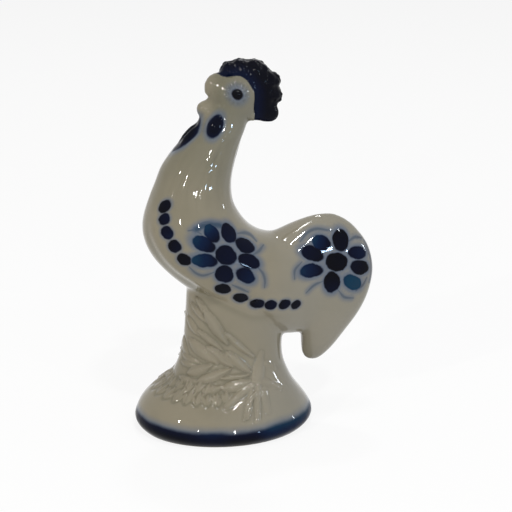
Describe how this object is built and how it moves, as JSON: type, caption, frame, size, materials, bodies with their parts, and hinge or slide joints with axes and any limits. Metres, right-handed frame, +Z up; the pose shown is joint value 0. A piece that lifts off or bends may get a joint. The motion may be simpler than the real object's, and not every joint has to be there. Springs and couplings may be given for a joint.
{
  "type": "porcelain rooster figurine",
  "caption": "Crowing rooster in glossy white porcelain on an oval base, with cobalt blue flower dabs on wing and tail, a blue comb and leaves in relief.",
  "frame": {"origin": "on the table, under the middle of the figure's bounding box", "axes": "+Z up, the bird faces -X with its tail at +X, and its left side is -Y"},
  "size_m": [0.1172, 0.0684, 0.1789],
  "materials": {
    "glazed_porcelain": "glossy clear glaze over cobalt painting"
  },
  "bodies": {
    "root": {"rooster": "glazed_porcelain"}
  },
  "joints": []
}
